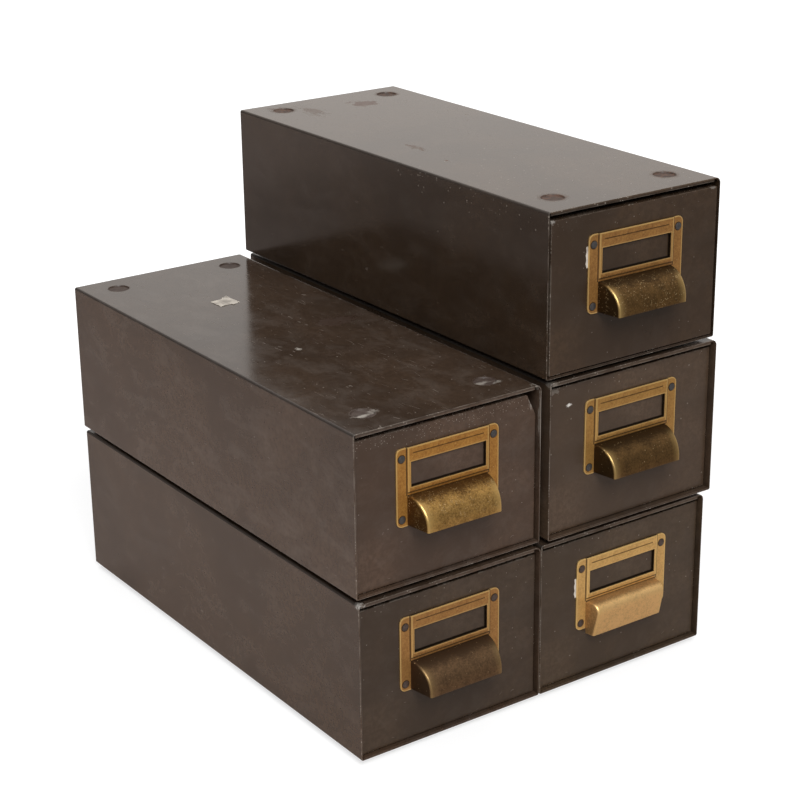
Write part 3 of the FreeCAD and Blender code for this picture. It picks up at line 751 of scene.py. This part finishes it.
def plate_lines():
    """Grid lines of the plate, from its middle and from its lower edge."""
    half = [0.0, GROOVE_HALF - 0.3 * MM, GROOVE_HALF + 0.3 * MM, WINDOW_HALF, RAISED_HALF - STEP, RAISED_HALF,
            RAISED_HALF + STEP]
    corner = [PLATE_CORNER * number / 6 for number in range(7)]
    half += [PLATE_HALF - PLATE_CORNER + part for part in corner]
    up = [HOOD_TOP, HOOD_TOP + STEP, LEDGE - STEP, LEDGE, LEDGE + STEP, WINDOW_SILL, WINDOW_HEAD,
          GROOVE_LOW - 0.15 * MM, GROOVE_LOW + 0.1 * MM, GROOVE_HIGH - 0.1 * MM, GROOVE_HIGH + 0.15 * MM]
    up += corner + [PLATE_HEIGHT - PLATE_CORNER + part for part in corner]
    return spaced([-x for x in half] + half, 4.0 * MM), spaced(up, 4.0 * MM)


def plate_shell(shape, middle_x, face_y, base_z):
    """Pressed plate with its raised card frame, window, card slot and the opening behind the hood."""
    across, up = plate_lines()
    grid = []
    for z in up:
        row = []
        for x in across:
            px, pz = rounded_corner(x, z)
            row.append(shape.verts.new((middle_x + px, face_y - plate_relief(x, z), base_z + pz)))
        grid.append(row)
    for j in range(len(up) - 1):
        for i in range(len(across) - 1):
            x = (across[i] + across[i + 1]) / 2
            z = (up[j] + up[j + 1]) / 2
            in_window = abs(x) < WINDOW_HALF and WINDOW_SILL < z < WINDOW_HEAD
            behind_hood = abs(x) < RAISED_HALF and z < HOOD_TOP
            if not in_window and not behind_hood:
                shape.faces.new((grid[j][i], grid[j][i + 1], grid[j + 1][i + 1], grid[j + 1][i]))
    bmesh.ops.delete(shape, geom=[vert for vert in shape.verts if not vert.link_faces], context="VERTS")
    thicken(shape, Vector((0, PLATE_SHEET, 0)))


def hood_profile(hood, bends=22, runs=5):
    """Depth, drop below the hood's top and slope angle along the hood from the plate to its lip."""
    points = [(0.0, 0.0, 0.0), (hood["run"], 0.0, 0.0)]
    for step in range(1, bends + 1):
        angle = math.pi / 2 * step / bends
        points.append((hood["run"] + hood["radius"] * math.sin(angle), hood["radius"] * (1 - math.cos(angle)), angle))
    depth, drop, _ = points[-1]
    for step in range(1, runs + 1):
        share = step / runs
        points.append((depth + (hood["lip"] - depth) * share, drop + (hood["drop"] - drop) * share, math.pi / 2))
    return points


def hood_skin(shape, hood, inset, place, bends=8, spread=12):
    """One skin of the hood, inset from its outside; gives its rows of points and its two lower cheek corners."""
    shade = shape.verts.layers.float["shade"]
    rub = shape.verts.layers.float["rub"]
    edge = max(HOOD_EDGE - inset, 0.4 * MM)
    rows = []
    profile = hood_profile(hood)
    for depth, drop, slope in profile:
        out, up = math.sin(slope), math.cos(slope)
        depth, drop = depth - inset * out, drop + inset * up
        half = RAISED_HALF - HOOD_DRAFT * depth / HOOD_REACH - inset
        left = []
        for step in range(bends + 1):
            angle = math.pi / 2 * step / bends
            sunk = edge * (1 - math.sin(angle))
            left.append((half - edge * (1 - math.cos(angle)), max(depth - sunk * out, 0.0), drop + sunk * up))
        left += [((half - edge) * (1 - step / spread), depth, drop) for step in range(1, spread)]
        row = []
        for number, (x, y, z) in enumerate([(-x, y, z) for x, y, z in left] + [(0.0, depth, drop)] + left[::-1]):
            vert = shape.verts.new(place(x, y, z))
            from_end = min(number, 2 * len(left) - number)
            cheek = 1.0 - smooth(from_end, 0.0, 0.35 * bends)
            # painted shade near the plate and on the cheeks
            vert[shade] = max(1.0 - smooth(slope, 0.15, 0.95), cheek) * 0.75
            # rub on the rounded ends, also painting their highlight
            vert[rub] = smooth(from_end, 0.2 * bends, 0.5 * bends) * (1.0 - smooth(from_end, 0.8 * bends, 1.3 * bends))
            vert[rub] *= smooth(slope, 0.2, 0.9)
            row.append(vert)
        rows.append(row)
    corners = [shape.verts.new(place(side * (RAISED_HALF - inset), 0.0, profile[-1][1])) for side in (-1, 1)]
    for corner in corners:
        corner[shade] = 0.75
    for upper, lower in zip(rows, rows[1:]):
        for i in range(len(upper) - 1):
            shape.faces.new((upper[i], lower[i], lower[i + 1], upper[i + 1]))
    for end, corner in ((0, corners[0]), (-1, corners[1])):
        shape.faces.new([row[end] for row in rows] + [corner])
    return rows, corners


def hood_shell(shape, hood, middle_x, face_y, base_z, dent):
    """Cup-shaped hood with its sheet thickness, a little uneven."""
    for name in ("shade", "rub"):
        shape.verts.layers.float.new(name)

    def place(x, y, drop):
        wave = noise.noise(Vector((x, y, drop)) * 70 + Vector((dent, 0, 0))) * 0.5 + 0.5
        return middle_x + x, face_y - y + wave * HOOD_WAVE * smooth(y, 0.0, 6 * MM), base_z + HOOD_TOP - drop

    rims = []
    for inset in (0.0, HOOD_SHEET):
        rows, (left, right) = hood_skin(shape, hood, inset, place)
        rims.append([left] + rows[-1] + [right] + rows[0][::-1])
    outer, inner = rims
    for i, vert in enumerate(outer):
        shape.faces.new((outer[i - 1], vert, inner[i], inner[i - 1]))
    bmesh.ops.remove_doubles(shape, verts=shape.verts[:], dist=0.01 * MM)
    bmesh.ops.recalc_face_normals(shape, faces=shape.faces[:])


def cup_pull(unit, dent):
    """Brass label frame and hooded pull of one drawer."""
    spot = pull_place(unit)
    plate = new_piece(unit + "_label_frame", lambda shape: plate_shell(shape, *spot), [plate_brass(unit)])
    cup = new_piece(unit + "_pull_hood", lambda shape: hood_shell(shape, HOODS[unit][0], *spot, dent),
                    [hood_brass(unit)])
    for piece in (plate, cup):
        soften(piece, CUT_EDGE)
        settle(piece)
        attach(piece, unit + "_drawer")
        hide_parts(unit + "_card_frame_pull")


# -------- rivets, by geometry nodes
def shaped(g, kind, shape, **inputs):
    """What a geometry node makes of a shape."""
    return g.add("GeometryNode" + kind, {"Geometry": shape, **titled(inputs)})[0]


def lifted(g, shape, z):
    return shaped(g, "Transform", shape, translation=g.join(0.0, 0.0, z))


def cylinder(g, corners, rings, radius, depth):
    """Upright cylinder about the origin."""
    return g.add("GeometryNodeMeshCylinder", {
        "Vertices": corners, "Side Segments": 1, "Fill Segments": rings, "Radius": radius, "Depth": depth})[0]


def rivet_tree():
    """Four rivets at the corners of an upright rectangle: domed heads in front, shanks, flat tails behind."""
    tree = bpy.data.node_groups.new("pull rivets", "GeometryNodeTree")
    add_inputs(tree, {
        "middle": POINT, "half_width": RIVET_X, "half_height": RIVET_Z, "head_radius": RIVET_HEAD,
        "crown": RIVET_CROWN, "shank": RIVET_SHANK, "grip": RIVET_GRIP, "tail_radius": RIVET_TAIL,
        "tail_height": RIVET_TAIL_HEIGHT, "hammering": RIVET_HAMMERING, "seed": 0})
    tree.interface.new_socket("Finish", in_out="INPUT", socket_type="NodeSocketMaterial")
    tree.interface.new_socket("Geometry", in_out="OUTPUT", socket_type="NodeSocketGeometry")
    g = Wiring(tree)
    given = g.add("NodeGroupInput")
    middle, crown, grip, tail_height = (given[name] for name in ("Middle", "Crown", "Grip", "Tail Height"))

    x, y, z = g.split(g.add("GeometryNodeInputPosition")[0])
    share = g.math("SQRT", x * x + y * y) / given["Head Radius"]
    swell = (1.0 - share * share) * (crown * 0.6)
    head = shaped(g, "SetPosition", cylinder(g, 24, 6, given["Head Radius"], crown * 0.4), selection=z > 0.0,
                  offset=g.join(0.0, 0.0, swell))
    head = lifted(g, head, crown * 0.2)
    shank = lifted(g, cylinder(g, 16, 1, given["Shank"], grip), grip * -0.5)
    tail = lifted(g, cylinder(g, 20, 2, given["Tail Radius"], tail_height), tail_height * -0.5 - grip)
    joined = tree.nodes.new("GeometryNodeJoinGeometry")
    for shape in (head, shank, tail):
        g.feed(joined.inputs[0], shape)

    corners = g.add("GeometryNodeMeshGrid", {
        "Size X": given["Half Width"] * 2.0, "Size Y": given["Half Height"] * 2.0, "Vertices X": 2,
        "Vertices Y": 2})["Mesh"]
    spin = g.add("FunctionNodeRandomValue", {"Max": 6.28, "Seed": given["Seed"]}, data_type="FLOAT")[1]
    placed = g.add("GeometryNodeInstanceOnPoints", {
        "Points": corners, "Instance": Value(g, joined.outputs[0]), "Rotation": g.join(0.0, 0.0, spin)})[0]
    upright = shaped(g, "Transform", placed, translation=middle, rotation=(math.radians(90), 0, 0))
    real = shaped(g, "RealizeInstances", upright)
    rough = g.add("ShaderNodeTexNoise", {
        "Vector": g.add("GeometryNodeInputPosition")[0] + middle, "Scale": 420.0, "Detail": 1.0})[0]
    hammered = shaped(g, "SetPosition", real, offset=g.join(0.0, (rough - 0.3) * given["Hammering"], 0.0))
    finished = shaped(g, "SetMaterial", hammered, material=given["Finish"])
    g.feed(tree.nodes.new("NodeGroupOutput").inputs[0], finished)
    return tree


def pull_rivets(unit, number, tree, steel):
    """One pull's four rivets."""
    piece = new_piece(unit + "_rivet_heads", lambda shape: shape.verts.new(POINT), [])
    grown = piece.modifiers.new("rivets", "NODES")
    grown.node_group = tree
    slots = {item.name: item.identifier for item in tree.interface.items_tree if item.in_out == "INPUT"}
    middle_x, face_y, base_z = pull_place(unit)
    grown[slots["Middle"]] = (middle_x, face_y, base_z + PLATE_HEIGHT / 2 + RIVET_RISE)
    grown[slots["Seed"]] = number
    grown[slots["Finish"]] = steel
    settle(piece, 50)
    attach(piece, unit + "_drawer")
    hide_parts(unit + "_pull_rivets")


# -------- marks with a shape of their own
def paper_scrap(name, body, paper, outline, corner, up, lift):
    """Torn paper lying on a surface: its outline in mm runs across and up from a corner."""
    across = Vector((1, 0, 0))
    face = across.cross(up).normalized()

    def build(shape):
        middle = sum((Vector(point) for point in outline), Vector((0, 0))) / len(outline)
        rim = []
        for number, (a, b) in enumerate(outline):
            height = 0.1 + lift * (0.5 + 0.5 * math.sin(2.4 * number))
            rim.append(shape.verts.new(corner + (across * a + up * b + face * height) * MM))
        centre = shape.verts.new(corner + (across * middle.x + up * middle.y + face * 0.16) * MM)
        for i, vert in enumerate(rim):
            shape.faces.new((rim[i - 1], vert, centre))
        thicken(shape, face * (-PAPER_SHEET * MM))

    piece = new_piece(name, build, [paper])
    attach(piece, body)


def paper_scraps(paper):
    """Torn label on the upper left unit, and old label edges showing beside two pulls."""
    top = unit_middle("upper_left") + Vector((0, 0, CASE.z / 2))
    paper_scrap("torn_label", "upper_left_unit", paper, TORN_LABEL, top, Vector((0, 1, 0)), 0.35)
    for unit, drop in LABEL_EDGE_DROPS.items():
        middle_x, face_y, base_z = pull_place(unit)
        corner = Vector((middle_x - PLATE_HALF, face_y + PLATE_SHEET, base_z + PLATE_HEIGHT - drop))
        paper_scrap(unit + "_label_edge", unit + "_drawer", paper, LABEL_EDGE, corner, Vector((0, 0, 1)), 0.1)


def bent_corner(enamel):
    """Upper left drawer front with its top right corner knocked in."""
    node = "upper_left_drawer_front"
    _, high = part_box(node)
    away = Vector((FOLD_HEIGHT, 0, FOLD_WIDTH)).normalized()
    fold_foot = Vector((high.x - FOLD_WIDTH, 0, high.z))

    def cut(shape, point, normal):
        bmesh.ops.bisect_plane(shape, geom=shape.verts[:] + shape.edges[:] + shape.faces[:], plane_co=point,
                               plane_no=normal)

    def build(shape):
        shape.from_mesh(nodes[node].data)
        bmesh.ops.remove_doubles(shape, verts=shape.verts[:], dist=0.005 * MM)
        for axis, start, reach in ((0, high.x, 1.6 * FOLD_WIDTH), (2, high.z, 1.4 * FOLD_HEIGHT)):
            for step in range(1, 11):
                point, normal = ORIGIN.copy(), ORIGIN.copy()
                point[axis] = start - reach * step / 10
                normal[axis] = 1.0
                cut(shape, point, normal)
        cut(shape, fold_foot, away)
        for vert in shape.verts:
            past = (Vector((vert.co.x, 0, vert.co.z)) - fold_foot).dot(away)
            if past > 0:
                vert.co -= away * past * (1 - math.cos(FOLD_ANGLE))
                vert.co.y += past * math.sin(FOLD_ANGLE)

    piece = new_piece("upper_left_bent_front", build, [enamel])
    settle(piece, 30)
    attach(piece, "upper_left_drawer")
    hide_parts(node)


# -------- finishes and pieces
def dress(name, material):
    """Gives a CAD node one material."""
    slots = nodes[name].data.materials
    slots.clear()
    slots.append(material)


def dress_all():
    """Every unit's finishes, pull and rivets, and the paper."""
    inner, zinc, feet, paper = inner_enamel(), bright_steel(), foot_steel(), old_paper()
    plain = dict.fromkeys(("casing_back", "drawer_runners", "drawer_tray", "drawer_back", "follower_plate"), inner)
    plain.update(stacking_feet=feet, follower_bolt=zinc, follower_thumb_nut=zinc)
    black_rivets = rivet_steel("blackened_rivet_steel", (0.032, 0.032, 0.034, 1), (0.050, 0.040, 0.034, 1))
    brown_rivets = rivet_steel("browned_rivet_steel", (0.055, 0.035, 0.027, 1), (0.030, 0.021, 0.017, 1))
    rivets = rivet_tree()
    for number, unit in enumerate(UNITS):
        dress(unit + "_casing", casing_enamel(unit))
        front = front_enamel(unit)
        if unit == "upper_left":
            bent_corner(front)
        else:
            dress(unit + "_drawer_front", front)
        for part, material in plain.items():
            dress(unit + "_" + part, material)
        cup_pull(unit, 7.3 * number)
        pull_rivets(unit, number, rivets, brown_rivets if unit.startswith("lower") else black_rivets)
    paper_scraps(paper)


# -------- floor, light and camera
WHITE = (1, 1, 1, 1)
PAPER_FRONT = -0.74  # front edge of the white paper sweep
PAPER_REACH = 15.0  # its other edges
PAPER_BACK = 30.0
ROOM_GLOSS = 0.22  # how bright the room behind the camera is, in gloss
SOFT_LEVEL = 0.36  # plain level of the surroundings' light
FLOOR_GLOW = 0.30  # light coming up through the paper
WARM_WHITE = (1.0, 0.96, 0.92)  # the room's white in gloss
WARM_PAPER = (1.0, 0.84, 0.77)  # the paper's white in gloss
SHADOW_LEVEL = 0.68  # how white the paper is to the camera by the stack
SHADOW_REACH = (0.35, 1.1)  # where that starts to fade, and where it's gone
SOFTBOXES = {  # place, target, size and power
    "key": ((-0.9, -2.0, 2.2), (0, 0, 0.15), 1.6, 82),
    "overhead": ((0.2, 0.4, 2.6), (0, 0, 0.2), 1.5, 22),
}
CAMERA_PLACE = (-0.84455, -1.21429, 0.74661)
CAMERA_TURN = (35.105, 20.820, -0.685)  # degrees round to the left, down, and rolled
CAMERA_LENS = 89.161


def make_floor():
    """White paper under the stack: a faint shadow and white to the camera, duller in gloss, a soft glow underneath."""
    material, w, shader = new_material("white_paper_sweep")
    path = w.add("ShaderNodeLightPath")
    across, along, _ = w.split(w.add("ShaderNodeTexCoord")["Object"])
    gloss = (w.ease(along, -0.5, 0.1, 0.30, 0.47) * w.ease(across, -0.65, -0.45, 0.6, 1.0)
             * w.ease(along, 1.1, 1.45, 1.0, 2.6))
    warm = w.join(gloss, gloss, gloss) * WARM_PAPER
    for name, value in (("Base Color", w.mix(path["Is Glossy Ray"], (0.86, 0.86, 0.86, 1), warm)),
                        ("Emission Strength", path["Is Diffuse Ray"] * FLOOR_GLOW), ("Emission Color", WHITE),
                        ("Roughness", 0.9), ("Specular IOR Level", 0.0)):
        w.feed(shader.inputs[name], value)
    shadowed = w.add("ShaderNodeBsdfDiffuse", {"Color": (0.38, 0.38, 0.38, 1)})[0]
    white = w.ease(w.length(w.join(across, along, 0.0)), *SHADOW_REACH, SHADOW_LEVEL, 1.0)
    lit = w.add("ShaderNodeEmission", {"Color": WHITE, "Strength": white})[0]
    seen = w.add("ShaderNodeAddShader", {0: shadowed, 1: lit})[0]
    mixed = w.add("ShaderNodeMixShader", {0: path["Is Camera Ray"], 1: Value(w, shader.outputs[0]), 2: seen})[0]
    w.feed(material.node_tree.nodes["Material Output"].inputs["Surface"], mixed)

    def build(shape):
        corners = ((-PAPER_REACH, PAPER_FRONT), (PAPER_REACH, PAPER_FRONT), (PAPER_REACH, PAPER_BACK),
                   (-PAPER_REACH, PAPER_BACK))
        shape.faces.new([shape.verts.new((x, y, 0)) for x, y in corners])

    new_piece("floor", build, [material])


def make_world():
    """White to the camera; gloss sees white behind the stack and a dim room in front; a plain soft level else."""
    world = bpy.data.worlds.new("studio")
    bpy.context.scene.world = world
    world.use_nodes = True
    w = Wiring(world.node_tree)
    background = world.node_tree.nodes["Background"]
    path = w.add("ShaderNodeLightPath")
    right, back, _ = w.split(w.add("ShaderNodeTexCoord")["Generated"])
    gloss = w.ease(back, -0.55, -0.05, ROOM_GLOSS, 0.88) * w.ease(right, -0.5, -0.1, 0.1, 1.0)
    level = path["Is Glossy Ray"] * (gloss - SOFT_LEVEL) + SOFT_LEVEL
    w.feed(background.inputs["Strength"], w.largest(path["Is Camera Ray"], path["Is Transmission Ray"], level))
    w.feed(background.inputs["Color"], w.mix(path["Is Glossy Ray"], WHITE, colour4(WARM_WHITE)))


def make_softbox(name, place, target, size, power):
    """Square area lamp aimed at a point."""
    lamp = bpy.data.lights.new(name, "AREA")
    lamp.shape = "SQUARE"
    lamp.size = size
    lamp.energy = power
    holder = put_in_scene(name, lamp)
    holder.location = place
    holder.rotation_euler = (Vector(target) - Vector(place)).to_track_quat("-Z", "Y").to_euler()


def make_camera():
    """Camera to the left of the fronts, looking down at the stack."""
    data = bpy.data.cameras.new("camera")
    data.sensor_width = 36.0
    data.lens = CAMERA_LENS
    data.clip_start = 0.05
    data.clip_end = 100.0
    camera = put_in_scene("camera", data)
    azimuth, elevation, roll = (math.radians(value) for value in CAMERA_TURN)
    camera.matrix_world = (Matrix.Translation(CAMERA_PLACE) @ Matrix.Rotation(-azimuth, 4, "Z")
                           @ Matrix.Rotation(math.pi / 2 - elevation, 4, "X") @ Matrix.Rotation(roll, 4, "Z"))
    bpy.context.scene.camera = camera


dress_all()
make_floor()
make_world()
for name, values in SOFTBOXES.items():
    make_softbox(name, *values)
make_camera()
bpy.context.scene.view_settings.view_transform = "Standard"
